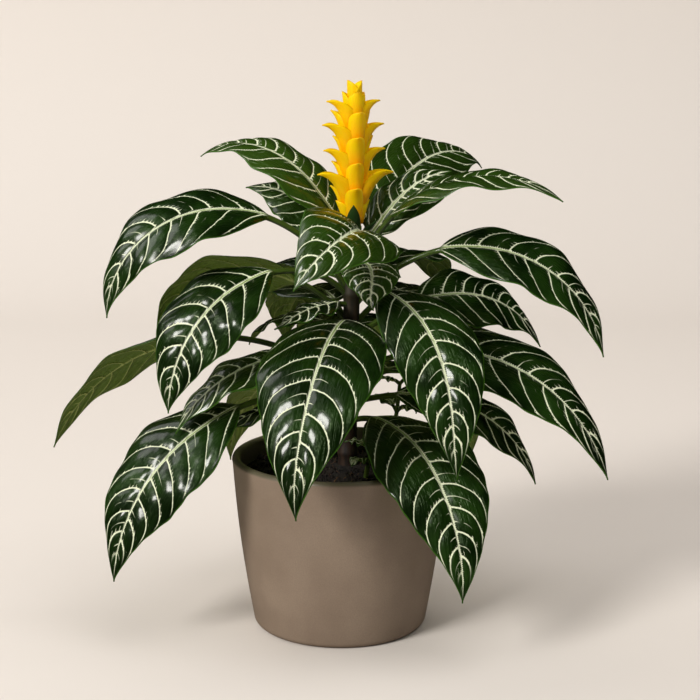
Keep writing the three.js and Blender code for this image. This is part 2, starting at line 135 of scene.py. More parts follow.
def tube(centres, radii, sides, name):
    angles = np.arange(sides) * 2 * math.pi / sides
    ring = np.stack([np.cos(angles), np.sin(angles), angles * 0], -1)
    build = bmesh.new()
    skinned(build, [[build.verts.new((centre + side * radius) * mm) for side in ring]
                    for centre, radius in zip(centres, radii)])
    return smoothPiece(build, name)


def joined(pieces, name):
    for piece in bpy.context.selected_objects:
        piece.select_set(False)
    for piece in pieces:
        piece.select_set(True)
    bpy.context.view_layer.objects.active = pieces[0]
    bpy.ops.object.join()
    pieces[0].name = name
    pieces[0].data.name = name
    return pieces[0]


def grown(piece, *nodes, slot):
    # every piece stands still with the pot and takes the place of its plain solids
    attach(piece, "root")
    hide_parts(*nodes)
    return piece


# Node helpers

number = "NodeSocketFloat"
vector = "NodeSocketVector"


def wire(tree, socket, value):
    if isinstance(value, bpy.types.NodeSocket):
        tree.links.new(value, socket)
    elif value is not None:
        socket.default_value = value


def step(tree, kind, inputs, **settings):
    # one node, with its settings and what goes into it
    node = tree.nodes.new(kind)
    for key, value in settings.items():
        setattr(node, key, value)
    for name, value in inputs.items():
        wire(tree, node.inputs[name], value)
    return node.outputs


def evenly(finish, values):
    # what is the same all over a surface
    for name, value in values.items():
        finish[name].default_value = value


def maths(tree, operation, a, b=None, c=None, clamp=False):
    return step(tree, "ShaderNodeMath", {0: a, 1: b, 2: c}, operation=operation, use_clamp=clamp)[0]


def times(tree, a, b):
    return maths(tree, "MULTIPLY", a, b)


def fused(tree, a, b, c):
    return maths(tree, "MULTIPLY_ADD", a, b, c)  # a times b, plus c


def smoothly(tree, value, start, end, low=0.0, high=1.0):
    span = {"Value": value, "From Min": start, "From Max": end, "To Min": low, "To Max": high}
    return step(tree, "ShaderNodeMapRange", span, interpolation_type="SMOOTHSTEP")[0]


def blended(tree, factor, a, b):
    return step(tree, "ShaderNodeMix", {0: factor, 6: a, 7: b}, data_type="RGBA")[2]


def noise(tree, place, scale, detail=2.0, roughness=0.5):
    grain = {"Vector": place, "Scale": scale, "Detail": detail, "Roughness": roughness}
    return step(tree, "ShaderNodeTexNoise", grain)["Fac"]


def parted(tree, vector):
    return step(tree, "ShaderNodeSeparateXYZ", {0: vector})


def merged(tree, x, y, z):
    return step(tree, "ShaderNodeCombineXYZ", {0: x, 1: y, 2: z})[0]


def attribute(tree, name):
    return parted(tree, step(tree, "ShaderNodeAttribute", {}, attribute_name=name)["Vector"])


def objectPlace(tree):
    return step(tree, "ShaderNodeTexCoord", {})["Object"]


def bumped(tree, height, distance, strength=1.0):
    relief = {"Strength": strength, "Distance": distance, "Height": height}
    return step(tree, "ShaderNodeBump", relief)["Normal"]


def newTree(name, kind, takes, gives):
    tree = bpy.data.node_groups.new(name, kind)
    for way, sockets in (("INPUT", takes), ("OUTPUT", gives)):
        for label, socket in sockets:
            tree.interface.new_socket(name=label, in_out=way, socket_type=socket)
    return tree, tree.nodes.new("NodeGroupInput").outputs, tree.nodes.new("NodeGroupOutput").inputs


def newEffect(name, takes, gives):
    return newTree(name, "ShaderNodeTree", takes, [(label, number) for label in gives])


def placed(tree, group, **given):
    return step(tree, "ShaderNodeGroup", given, node_tree=group)


def newMaterial(name):
    material = bpy.data.materials.new(name)
    material.use_nodes = True
    tree = material.node_tree
    return material, tree, tree.nodes["Principled BSDF"].inputs


def newModifierTree(name, takes):
    body = [("Geometry", "NodeSocketGeometry")]
    return newTree(name, "GeometryNodeTree", body + takes, body)


def finished(tree, geometry, material, result):
    # the end of every tree: real faces with their material
    real = step(tree, "GeometryNodeRealizeInstances", {"Geometry": geometry})
    dressed = step(tree, "GeometryNodeSetMaterial", {"Geometry": real["Geometry"], "Material": material})
    wire(tree, result["Geometry"], dressed["Geometry"])


def setInputs(modifier, values):
    for item in modifier.node_group.interface.items_tree:
        if item.in_out == "INPUT" and item.name in values:
            modifier[item.identifier] = values[item.name]


def hardened(piece, name):
    # the evaluated result as a plain mesh of its own
    graph = bpy.context.evaluated_depsgraph_get()
    mesh = bpy.data.meshes.new_from_object(piece.evaluated_get(graph))
    mesh.name = name
    piece.modifiers.clear()
    bpy.data.objects.remove(piece)
    mesh.shade_smooth()
    return linked(name, mesh)


# Shared effects

# widths and depths in millimetres, the scales of the noises per metre
vein = {
    "wobble": 0.2, "wobbleScale": 55, "raggedScale": 700, "patchScale": 110, "softness": 0.16,
    "width": 0.62, "edgeWidth": 0.2, "tooth": 4.4, "toothPace": 0.42, "fineTooth": 0.8, "finePace": 1.25,
    "minorWidth": 0.34, "minorOffset": 0.42, "ribFoot": 1.25, "ribTip": 0.12, "ribTooth": 0.75,
    "ribFlare": 0.75, "ribPace": 12.6, "wrinkle": 0.6, "grain": 0.8, "grainScale": 240, "pucker": 3.2,
    "puckerAlong": 1.3, "puckerAcross": 0.34,
}


def veinEffect():
    # Run counts the secondary veins along the blade: it is whole on each. Gap is the millimetres between two.
    takes = [("Run", number), ("Gap", number), ("Across", number), ("Share", number), ("Foot", number),
             ("Edge", number), ("Place", vector), ("Boldness", number)]
    tree, given, result = newEffect("Leaf veins", takes, ("Veins", "Rib", "Margin", "Relief"))
    share = maths(tree, "ABSOLUTE", given["Share"])
    across = maths(tree, "ABSOLUTE", given["Across"])
    tip = smoothly(tree, given["Foot"], 0.8, 0.99, 1.0, 0.0)
    wobble = maths(tree, "SUBTRACT", noise(tree, given["Place"], vein["wobbleScale"], 2), 0.5)
    run = fused(tree, wobble, vein["wobble"], given["Run"])
    nearest = times(tree, maths(tree, "PINGPONG", run, 0.5), given["Gap"])
    shifted = maths(tree, "ADD", run, vein["minorOffset"])
    between = times(tree, maths(tree, "PINGPONG", shifted, 0.5), given["Gap"])
    ragged = noise(tree, given["Place"], vein["raggedScale"], 1)
    patchy = smoothly(tree, noise(tree, given["Place"], vein["patchScale"], 1), 0.38, 0.62)

    # short spurs stand on the veins like the teeth of a fine saw, most of them on the side of the leaf's foot
    toothRun = fused(tree, ragged, 0.9, times(tree, across, vein["toothPace"]))
    tooth = maths(tree, "POWER", times(tree, maths(tree, "PINGPONG", toothRun, 0.5), 2), 6)
    fineRun = fused(tree, ragged, 0.5, times(tree, across, vein["finePace"]))
    fineTooth = maths(tree, "PINGPONG", fineRun, 0.5)
    footSide = maths(tree, "GREATER_THAN", maths(tree, "FRACT", run), 0.5)
    spur = times(tree, times(tree, tooth, footSide), times(tree, patchy, vein["tooth"]))
    spur = fused(tree, fineTooth, vein["fineTooth"], spur)
    base = times(tree, smoothly(tree, share, 0.0, 1.0, vein["width"], vein["edgeWidth"]), given["Boldness"])
    width = times(tree, base, maths(tree, "ADD", spur, 0.6))
    width = times(tree, width, fused(tree, tip, 0.65, 0.35))
    soft = vein["softness"]
    secondary = smoothly(tree, maths(tree, "SUBTRACT", nearest, width), -soft, soft, 1.0, 0.0)
    secondary = times(tree, secondary, smoothly(tree, share, 0.9, 0.97, 1.0, 0.0))
    secondary = times(tree, secondary, smoothly(tree, given["Foot"], 0.83, 0.93, 1.0, 0.0))
    secondary = times(tree, secondary, smoothly(tree, given["Run"], -0.35, -0.2))

    # a thinner vein starts out between two secondary ones and soon fades
    reach = fused(tree, patchy, 0.35, 0.12)
    left = maths(tree, "SUBTRACT", 1.0, maths(tree, "DIVIDE", share, reach))
    thin = times(tree, left, vein["minorWidth"])
    minor = smoothly(tree, maths(tree, "SUBTRACT", between, thin), -soft, soft, 1.0, 0.0)
    minor = times(tree, minor, times(tree, tip, 0.85))

    # the midrib tapers from the foot to the tip, with a toothed edge
    sawRun = fused(tree, ragged, 0.8, times(tree, given["Run"], vein["ribPace"]))
    saw = maths(tree, "POWER", times(tree, maths(tree, "PINGPONG", sawRun, 0.5), 2), 2.5)
    ribWidth = smoothly(tree, given["Foot"], -0.05, 0.97, vein["ribFoot"], vein["ribTip"])
    flare = smoothly(tree, nearest, 0.1, 2.2, vein["ribFlare"], 0.0)
    teeth = times(tree, fused(tree, saw, vein["ribTooth"], flare), tip)
    ribWidth = times(tree, maths(tree, "ADD", ribWidth, teeth), given["Boldness"])
    midrib = smoothly(tree, maths(tree, "SUBTRACT", across, ribWidth), -0.2, 0.2, 1.0, 0.0)
    midrib = times(tree, midrib, smoothly(tree, given["Foot"], 0.94, 0.99, 1.0, 0.0))
    core = smoothly(tree, maths(tree, "DIVIDE", across, ribWidth), 0.3, 0.62, 1.0, 0.0)
    core = times(tree, core, smoothly(tree, given["Foot"], 0.1, 0.8, 1.0, 0.0))

    veins = maths(tree, "MAXIMUM", maths(tree, "MAXIMUM", secondary, minor), midrib, clamp=True)
    onBlade = smoothly(tree, given["Foot"], -0.01, 0.03)
    wire(tree, result["Veins"], times(tree, veins, onBlade))
    wire(tree, result["Rib"], times(tree, core, onBlade))
    wire(tree, result["Margin"], smoothly(tree, given["Edge"], 0.25, 0.8, 1.0, 0.0))

    # the veins lie in grooves, small wrinkles run off them, and the blade between them is puckered
    grooves = smoothly(tree, nearest, 0.0, 1.5)
    wrinkle = times(tree, maths(tree, "PINGPONG", toothRun, 0.5), smoothly(tree, nearest, 0.5, 5.0, 1.0, 0.0))
    relief = fused(tree, wrinkle, vein["wrinkle"], grooves)
    grain = noise(tree, given["Place"], vein["grainScale"], 2)
    relief = fused(tree, grain, vein["grain"], relief)
    puckerPlace = merged(tree, times(tree, run, vein["puckerAlong"]),
                         times(tree, given["Across"], vein["puckerAcross"]), 0.0)
    relief = fused(tree, noise(tree, puckerPlace, 1.0, 3, 0.6), vein["pucker"], relief)
    wire(tree, result["Relief"], fused(tree, midrib, -0.3, relief))
    return tree


def speckleEffect():
    # fine mottling with a broad, soft drift under it
    takes = [("Place", vector), ("Grain", number), ("Drift", number)]
    tree, given, result = newEffect("Speckle", takes, ("Fine", "Broad", "Height"))
    fine = noise(tree, given["Place"], given["Grain"], 3, 0.6)
    wire(tree, result["Fine"], smoothly(tree, fine, 0.3, 0.7))
    wire(tree, result["Broad"], smoothly(tree, noise(tree, given["Place"], given["Drift"], 3, 0.5), 0.3, 0.7))
    wire(tree, result["Height"], fine)
    return tree


leafVeins = veinEffect()
speckle = speckleEffect()

# Main stem

stem = {
    "foot": (4, 3, 70), "top": (9, 0, 271), "footRadius": 6.6, "topRadius": 5.2, "sides": 40, "rings": 150,
    "nodes": (122, 150, 178, 206, 234, 258), "swell": 0.9, "nodeLength": 4,
    "scar": 0.35, "scarBelow": 1.2, "scarLength": 0.9,
    "darkBark": linear(26, 17, 10), "paleBark": linear(52, 34, 21),
    "darkGreen": linear(34, 36, 16), "paleGreen": linear(58, 64, 28), "greenFrom": 200, "greenTo": 262,
    "greenShare": 0.55, "streaks": 420, "streakStretch": 0.15, "relief": 0.0006, "even": {"Roughness": 0.6},
}


def stemMaterial():
    material, tree, finish = newMaterial("stemBark")
    x, y, z = parted(tree, objectPlace(tree))
    streaks = noise(tree, merged(tree, x, y, times(tree, z, stem["streakStretch"])), stem["streaks"], 3)
    bark = blended(tree, smoothly(tree, streaks, 0.35, 0.7), stem["darkBark"], stem["paleBark"])
    green = times(tree, smoothly(tree, z, stem["greenFrom"] * mm, stem["greenTo"] * mm), stem["greenShare"])
    fresh = blended(tree, streaks, stem["darkGreen"], stem["paleGreen"])
    wire(tree, finish["Base Color"], blended(tree, green, bark, fresh))
    evenly(finish, stem["even"])
    wire(tree, finish["Normal"], bumped(tree, streaks, stem["relief"], 0.6))
    return material


def stemCentre(z):
    t = (z - stem["foot"][2]) / (stem["top"][2] - stem["foot"][2])
    return np.array([mix(stem["foot"][0], stem["top"][0], t), mix(stem["foot"][1], stem["top"][1], t), z])


def stemPiece():
    heights = np.linspace(stem["foot"][2], stem["top"][2], stem["rings"])
    t = (heights - heights[0]) / (heights[-1] - heights[0])
    radii = mix(stem["footRadius"], stem["topRadius"], t)
    for node in stem["nodes"]:
        away = heights - node
        radii = radii + stem["swell"] * np.exp(-(away / stem["nodeLength"]) ** 2)
        radii = radii + stem["scar"] * np.exp(-((away + stem["scarBelow"]) / stem["scarLength"]) ** 2)
    piece = tube([stemCentre(z) for z in heights], radii, stem["sides"], "mainStem")
    piece.data.materials.append(stemMaterial())
    return grown(piece, "stem", slot="stem_bark")


stemPiece()

# Leaves

leafFinish = {
    # the paler green that a leaf's tone blends in: young leaves are paler by nature, and some others are
    # paled as painted light shining through them
    "dark": linear(9, 26, 3), "light": linear(27, 52, 11), "young": linear(60, 90, 20),
    "vein": linear(232, 238, 206), "rib": linear(118, 146, 56), "margin": linear(66, 108, 30),
    # the undersides are paler by nature, and their greens are made paler still as painted light shining
    # through the leaf
    "stalk": linear(64, 84, 28), "under": linear(122, 150, 50), "underVein": linear(178, 192, 104),
    "clouds": 38, "marginShare": 0.8, "ribShare": 0.85, "roughness": 0.34, "veinRoughness": 0.55,
    "coat": 0.7, "veinCoat": 0.15, "relief": 0.0007, "underRelief": 0.0016, "underBoldness": 0.9,
    "even": {"Coat Roughness": 0.17, "Specular IOR Level": 0.22, "Specular Tint": (0.72, 1.0, 0.55, 1.0)},
    "underEven": {"Roughness": 0.55},
}


def leafMaterial(name, boldness):
    # what both faces of a leaf share
    material, tree, finish = newMaterial(name)
    run, gap, across = attribute(tree, "veins")
    share, foot, edge = attribute(tree, "place")
    effect = placed(tree, leafVeins, Run=run, Gap=gap, Across=across, Share=share, Foot=foot, Edge=edge,
                    Place=objectPlace(tree), Boldness=boldness)
    onStalk = smoothly(tree, foot, -0.01, 0.03, 1.0, 0.0)
    return material, tree, finish, effect, onStalk


def leafTopMaterial():
    material, tree, finish, effect, onStalk = leafMaterial("leafTop", 1.0)
    cloudy = smoothly(tree, noise(tree, objectPlace(tree), leafFinish["clouds"], 3), 0.35, 0.7)
    green = blended(tree, cloudy, leafFinish["dark"], leafFinish["light"])
    # the tone pales the green: young crown leaves are paler by nature, and leaves such as the far left one
    # are paled as painted light shining through them
    green = blended(tree, attribute(tree, "tone")[0], green, leafFinish["young"])
    margin = times(tree, effect["Margin"], leafFinish["marginShare"])
    green = blended(tree, margin, green, leafFinish["margin"])
    rib = times(tree, effect["Rib"], leafFinish["ribShare"])
    cream = blended(tree, rib, leafFinish["vein"], leafFinish["rib"])
    skin = blended(tree, effect["Veins"], green, cream)
    wire(tree, finish["Base Color"], blended(tree, onStalk, skin, leafFinish["stalk"]))
    for socket, onGreen, onVein in (("Roughness", "roughness", "veinRoughness"),
                                    ("Coat Weight", "coat", "veinCoat")):
        value = smoothly(tree, effect["Veins"], 0.0, 1.0, leafFinish[onGreen], leafFinish[onVein])
        wire(tree, finish[socket], value)
    wire(tree, finish["Normal"], bumped(tree, effect["Relief"], leafFinish["relief"], 0.8))
    evenly(finish, leafFinish["even"])
    return material


def leafUnderMaterial():
    material, tree, finish, effect, onStalk = leafMaterial("leafUnder", leafFinish["underBoldness"])
    # painted light: the underside's pale green is made paler still, as if lit through the leaf, and the tone
    # pales it more
    green = blended(tree, attribute(tree, "tone")[0], leafFinish["under"], leafFinish["young"])
    skin = blended(tree, effect["Veins"], green, leafFinish["underVein"])
    wire(tree, finish["Base Color"], blended(tree, onStalk, skin, leafFinish["stalk"]))
    evenly(finish, leafFinish["underEven"])
    raised = times(tree, effect["Relief"], -1.0)
    wire(tree, finish["Normal"], bumped(tree, raised, leafFinish["underRelief"]))
    return material


leafTop, leafUnder = leafTopMaterial(), leafUnderMaterial()

blade = {
    "thickness": 0.8, "edgeThickness": 0.34, "stalkRadius": 2.0, "inset": 3.0, "pathSteps": 48,
    "fullness": 0.72, "sharpness": 1.22, "fold": 0.2, "drape": 0.3, "wave": 2.2, "waves": 3, "otherWave": 1.9,
    "hook": 3.2, "hookFrom": 0.8, "scallop": 0.012, "quilt": 1.15, "dimple": 0.14, "ribGroove": 0.55,
    "ribDepth": 1.3, "underVein": 0.25, "fewestVeins": 6, "veinSpacing": 60, "veinCrowding": 1.2,
    "veinArch": 0.27, "edgeArch": 0.05, "veinOffset": 0.38, "frontGrain": 1.45, "backGrain": 2.6,
}


def leafRow(height, heading, rise, fall, length, stalk, width, bend=1, swing=0, lean=0, twist=0,
            fold=blade["fold"], youthAndGlow=0.0):
    return dict(height=height, heading=heading, swing=swing, rise=rise, fall=fall, bend=bend, length=length,
                stalk=stalk, width=width, lean=lean, twist=twist, fold=fold, youthAndGlow=youthAndGlow)


# Each row: foot height and heading, rise at the foot, fall at the tip, length, stalk and width
# the paleness given to some leaves below is youth on the crown leaves and shoots, and painted light shining
# through on others such as the far left leaf
leaves = {
    "leaf_left_crown": leafRow(264, 158, 64, -36, 145, 22, 56, bend=1.7, lean=12, youthAndGlow=0.5),
    "leaf_left_crown_inner": leafRow(257, 150, 54, -10, 98, 14, 44, bend=1.5, lean=30, youthAndGlow=0.15),
    "leaf_left_shoulder": leafRow(236, 190, 60, -88, 224, 76, 62, bend=1.25, lean=10, twist=30),
    "leaf_left_back": leafRow(214, 163, 49, -74, 176, 44, 54, bend=1.1, lean=-42, twist=8),
    "leaf_front_crown": leafRow(258, -67, 54, -58, 129, 20, 68, swing=-94, bend=0.95, lean=26, fold=0.3,
                                youthAndGlow=0.3),
    "leaf_left_middle": leafRow(231, -156, 61, -88, 188, 62, 63, bend=0.7, twist=52),
    "leaf_left_far": leafRow(170, 174, 40, -68, 250, 80, 48, lean=-30, youthAndGlow=0.4),
    "leaf_left_low": leafRow(160, -158, 18, -85, 230, 78, 69, twist=45),
    "leaf_left_between": leafRow(183, -160, 26, -60, 140, 35, 46, lean=10, youthAndGlow=0.15),
    "leaf_left_small": leafRow(203, 162, 32, -66, 84, 18, 40, bend=1.4),
    "leaf_front_middle": leafRow(212, -103, 30, -85, 188, 14, 82, swing=-10, bend=0.7),
    "leaf_front_shadow": leafRow(226, -146, 12, -35, 60, 8, 34),
    "leaf_right_middle": leafRow(232, -40, 38, -92, 179, 22, 60, swing=-40, bend=0.6, twist=-35),
    "leaf_right_low": leafRow(144, -48, 26, -85, 184, 22, 70, swing=-20, bend=0.8, twist=-26),
    "leaf_right_shoulder": leafRow(226, -8, 52, -80, 217, 70, 56, bend=1.1, lean=-30),
    "leaf_right_inner": leafRow(203, 15, 33, -70, 158, 50, 60, bend=1.6, lean=-30),
    "leaf_right_far": leafRow(176, -15, 36, -75, 219, 32, 60, lean=-30),
    "leaf_right_small": leafRow(157, -4, 15, -75, 155, 30, 48, bend=1.3, lean=-25),
    "leaf_right_crown": leafRow(262, 54, 46, -34, 190, 20, 62, bend=1.5, lean=-30, youthAndGlow=0.25),
    "leaf_right_long": leafRow(244, -16, 73, -34, 176, 50, 52, bend=1.1, lean=-8, youthAndGlow=0.3),
    "leaf_right_crown_inner": leafRow(255, 20, 60, 0, 96, 20, 32, bend=2, lean=-45, youthAndGlow=0.2),
    "leaf_front_small": leafRow(251, -53, 44, -74, 60, 10, 40, swing=-60, bend=0.75, youthAndGlow=0.3),
    "leaf_rim": leafRow(152, -172, 20, -40, 92, 20, 46),
    "leaf_back_low_left": leafRow(158, 126, 25, -80, 190, 40, 70, swing=6, twist=10),
    "leaf_back_low_right": leafRow(162, 52, 25, -80, 190, 40, 70, swing=-6, twist=-10),
    "leaf_back_middle": leafRow(190, 90, 32, -80, 190, 34, 74, swing=5),
    "leaf_back_left": leafRow(208, 114, 40, -75, 150, 30, 62, bend=1.1),
    "leaf_back_right": leafRow(210, 52, 34, -75, 175, 30, 64, swing=-4, bend=1.1),
    "leaf_back_crown_left": leafRow(230, 116, 42, -65, 140, 22, 56),
    "leaf_back_crown_right": leafRow(233, 52, 46, -65, 140, 22, 52),
}


def bladeShape(b):
    b = np.clip(b, 0, 1)
    widest = blade["fullness"] / (blade["fullness"] + blade["sharpness"])
    peak = widest ** blade["fullness"] * (1 - widest) ** blade["sharpness"]
    return b ** blade["fullness"] * (1 - b) ** blade["sharpness"] / peak


def direction(rise, turn):
    return np.stack([np.cos(rise) * np.cos(turn), np.cos(rise) * np.sin(turn), np.sin(rise)], -1)


def leafPath(leaf, t, start):
    # the middle line: its slope goes from rise to fall, and its heading swings
    middles = (np.arange(blade["pathSteps"]) + 0.5) / blade["pathSteps"]
    rise = (leaf["rise"] + (leaf["fall"] - leaf["rise"]) * middles ** leaf["bend"]) * degree
    turn = (leaf["heading"] + leaf["swing"] * middles) * degree
    steps = direction(rise, turn) * leaf["length"] / blade["pathSteps"]
    line = np.concatenate([[start], start + np.cumsum(steps, axis=0)])
    marks = np.linspace(0, 1, len(line))
    return np.stack([np.interp(t, marks, line[:, k]) for k in range(3)], -1)


def leafSheet(leaf, start, stalkRadius, grain):
    # the two skins of a leaf, with what the vein pattern needs at each point: t runs from the stalk's foot to
    # the tip, b from the blade's foot to the tip, and s from one edge to the other
    foot = leaf["stalk"] / leaf["length"]
    bladeLength = leaf["length"] - leaf["stalk"]
    rows = max(24, round(bladeLength / grain))
    stalkRows = max(4, round(leaf["stalk"] / (3 * grain)))
    t = np.concatenate([np.linspace(0, foot, stalkRows, endpoint=False), np.linspace(foot, 1, rows)])
    side = max(5, round(leaf["width"] / 2 / grain))
    s = np.linspace(-1, 1, 2 * side + 1)
    s = np.sign(s) * np.abs(s) ** 0.92  # a little finer towards the edges
    t, s = t[:, None], s[None, :]
    b = (t - foot) / (1 - foot)
    on = np.clip(b, 0, 1)
    fromFoot, fromTip, ofStalk = np.clip(b * 9, 0, 1), np.clip((1 - b) * 6, 0, 1), np.clip(b * 8, 0, 1)
    centre = leafPath(leaf, t[:, 0], start)[:, None, :]
    rise = (leaf["rise"] + (leaf["fall"] - leaf["rise"]) * t ** leaf["bend"]) * degree
    turn = (leaf["heading"] + leaf["swing"] * t) * degree
    along = direction(rise, turn)
    level = np.stack([np.sin(turn), -np.cos(turn), 0 * turn], -1)
    inHook = np.clip((b - blade["hookFrom"]) / (1 - blade["hookFrom"]), 0, 1) ** 2
    centre = centre + level * (blade["hook"] * math.sin(3 * leaf["heading"]) * inHook)[..., None]
    up = np.cross(level, along)
    roll = ((leaf["lean"] + leaf["twist"] * t) * degree)[..., None]
    across = level * np.cos(roll) + up * np.sin(roll)
    out = np.cross(across, along)
    half = np.maximum(0.5, leaf["width"] / 2 * bladeShape(b))
    halfWidth = np.where(b < 0.5, np.maximum(stalkRadius, half), half)
    size = np.abs(s)

    # secondary veins leave the midrib level and arch towards the tip, one side part of a step from the other
    count = round(blade["fewestVeins"] + bladeLength / blade["veinSpacing"])
    crowding = blade["veinCrowding"]
    bulge = np.sqrt(1 - np.minimum(size, 0.985) ** 2)
    arch = blade["veinArch"] * (1 - bulge) + blade["edgeArch"] * size
    veinPlace = np.clip(b, -1, 1) - arch * (1 - 0.3 * on)
    forward = np.maximum(veinPlace, 0)
    run = count * np.where(veinPlace > 0, forward ** crowding, 0.6 * veinPlace)
    run = run + np.where(s > 0, blade["veinOffset"], 0.0)
    slope = bladeLength * (blade["veinArch"] * size / np.maximum(bulge, 0.25) + blade["edgeArch"]) / halfWidth
    perMark = count * crowding * np.maximum(forward, 0.08) ** (crowding - 1)
    spacing = bladeLength / perMark / np.sqrt(1 + slope ** 2)
    offVein = np.abs(run - np.round(run)) * 2

    # the blade is quilted between the veins, and dimpled
    fromRib = halfWidth * size
    calm = (1 - np.exp(-(fromRib / 3.5) ** 2)) * (1 - size ** 5) * fromFoot * fromTip
    pillow = (1 - (1 - offVein) ** 2.4) * calm * np.clip(spacing / 9, 0, 1) * blade["quilt"]
    dimple = np.sin(fromRib * 0.62 + 3 * run + leaf["heading"]) * np.sin(4.1 * run + fromRib * 0.3)
    groove = np.exp(-(fromRib / 1.6) ** 2) * fromFoot * (1 - on)
    relief = pillow + blade["dimple"] * dimple * calm - blade["ribGroove"] * groove

    # it is folded along the rib, droops at the sides and waves along its edges
    otherSide = np.where(s > 0, blade["otherWave"], 0.0)
    wave = blade["wave"] * np.sin(2 * math.pi * blade["waves"] * b + leaf["heading"] + otherSide)
    lift = half * (leaf["fold"] * size - blade["drape"] * s * s) + wave * s * s * np.sin(math.pi * on)
    lift = ofStalk * lift + relief
    scallop = 1 + blade["scallop"] * np.cos(2 * math.pi * run) * ofStalk * size ** 4
    surface = centre + across * (halfWidth * scallop * s)[..., None] + out * lift[..., None]
    stalky = 1 - np.clip(b * 6, 0, 1)
    thin = mix(blade["thickness"], blade["edgeThickness"], size ** 6) / 2
    top = thin + stalky * stalkRadius * 0.8 * np.sqrt(np.maximum(0, 1 - s * s))
    rib = blade["ribDepth"] * (1 - on) * (1 - stalky) * np.exp(-(fromRib / 1.3) ** 2)
    under = top + rib + blade["underVein"] * np.exp(-(offVein * spacing / 1.2) ** 2) * calm
    upper = surface + out * top[..., None]
    lower = surface - out * under[..., None]
    points, quads, tops, bottoms = closedSheet(upper, lower)

    tone = np.array([leaf["youthAndGlow"], 0, 0])
    given = {"veins": (run, spacing, halfWidth * s), "place": (s, b, halfWidth * (1 - size))}
    attributes = {key: np.tile(np.stack(np.broadcast_arrays(*values), -1).reshape(-1, 3), (2, 1))
                  for key, values in given.items()}
    attributes["tone"] = np.broadcast_to(tone, points.shape)
    return points, quads, attributes, tops, bottoms


def leafPiece(name, leaf, start, stalkRadius, grain):
    points, quads, attributes, tops, bottoms = leafSheet(leaf, start, stalkRadius, grain)
    piece = meshPiece(name, points, quads, attributes)
    piece.data.materials.append(leafTop)
    piece.data.materials.append(leafUnder)
    skins = np.zeros(len(quads), dtype=np.int32)
    skins[tops:tops + bottoms] = 1
    piece.data.polygons.foreach_set("material_index", skins)
    return piece


for name, leaf in leaves.items():
    turn = leaf["heading"] * degree
    start = stemCentre(leaf["height"]) + blade["inset"] * np.array([math.cos(turn), math.sin(turn), 0])
    grain = blade["backGrain"] if name.startswith("leaf_back_") else blade["frontGrain"]
    piece = leafPiece(name.replace("leaf_", "blade_"), leaf, start, blade["stalkRadius"], grain)
    grown(piece, name, slot="leaf_blade")
print("leaves made")

# Side shoots. Their stalks and the bracts under the spike have one finish.

sprig = {
    "footRadius": 2, "topRadius": 1.3, "rings": 30, "sides": 14, "leafStalkRadius": 1.1, "grain": 1.2,
    "leaf": dict(rise=48, fall=-25, youthAndGlow=0.8), "leafStalk": 0.2, "leafWidth": 0.42,
    "foot": linear(96, 118, 40), "green": linear(38, 70, 22), "shade": linear(26, 52, 18),
    "drift": 160, "grit": 500, "relief": 0.0003, "even": {"Roughness": 0.42},
}

shoots = {
    "shoot_right": dict(foot=(26, 12, 92), top=(42, 17, 168), bow=3, turn=-60,
                        pairs=((146, 32), (166, 26))),
    "shoot_front": dict(foot=(17, -26, 92), top=(22, -36, 134), bow=-2, turn=60,
                        pairs=((122, 28), (132, 22))),
}


def greenBractMaterial():
    material, tree, finish = newMaterial("greenBract")
    lower = smoothly(tree, attribute(tree, "run")[0], 0.0, 0.5, 1.0, 0.0)
    shade = blended(tree, lower, sprig["green"], sprig["foot"])
    drift = times(tree, noise(tree, objectPlace(tree), sprig["drift"], 3), 0.5)
    wire(tree, finish["Base Color"], blended(tree, drift, shade, sprig["shade"]))
    evenly(finish, sprig["even"])
    grit = noise(tree, objectPlace(tree), sprig["grit"], 2)
    wire(tree, finish["Normal"], bumped(tree, grit, sprig["relief"], 0.5))
    return material


greenBract = greenBractMaterial()


def shootCentre(shoot, z):
    foot, top = np.array(shoot["foot"], float), np.array(shoot["top"], float)
    t = (z - foot[2]) / (top[2] - foot[2])
    return mix(foot, top, t) + np.array([shoot["bow"] * math.sin(math.pi * t), 0, 0])


for name, shoot in shoots.items():
    heights = np.linspace(shoot["foot"][2], shoot["top"][2], sprig["rings"])
    radii = np.linspace(sprig["footRadius"], sprig["topRadius"], sprig["rings"])
    stalk = tube([shootCentre(shoot, z) for z in heights], radii, sprig["sides"], name + "_stalk")
    stalk.data.materials.append(greenBract)
    parts = [stalk]
    for k, (height, length) in enumerate(shoot["pairs"]):
        for half in (0, 180):
            leaf = leafRow(height, shoot["turn"] + 90 * k + half, length=length, **sprig["leaf"],
                           stalk=length * sprig["leafStalk"], width=length * sprig["leafWidth"])
            start = shootCentre(shoot, height)
            parts.append(leafPiece("sprig", leaf, start, sprig["leafStalkRadius"], sprig["grain"]))
    grown(joined(parts, name + "_sprig"), name, slot="young_leaf")

# Flower spike. Each form of bract has the first and last tier that it fills, and tells pairs from threes.

spike = {
    "foot": 280, "length": 96, "lean": 1, "tiers": 11, "step": 8.4, "tierFoot": 2, "core": 5.2,
    "pairTurn": 20, "tripleTurn": -76, "looseness": 0.05, "seed": 7,
    # lower is painted shade, a darker orange for the feet of the bracts down in the crevices between them
    "upper": linear(255, 212, 4), "lower": linear(253, 162, 1), "drift": linear(255, 182, 3),
    "tip": linear(214, 150, 30), "driftScale": 120, "relief": 0.0005,
    "even": {"Roughness": 0.36, "Specular IOR Level": 0.35, "Specular Tint": (1.0, 0.85, 0.4, 1.0),
             "Subsurface Weight": 0.25, "Subsurface Radius": (1.0, 0.5, 0.1), "Subsurface Scale": 0.003},
}

bract = {
    "cup": 2.1, "thickness": 0.7, "rows": 30, "columns": 19, "widest": 0.46, "keel": 0.1, "keelWidth": 0.12,
    "ruffle": 0.3, "hollowFrom": 0.45,
}

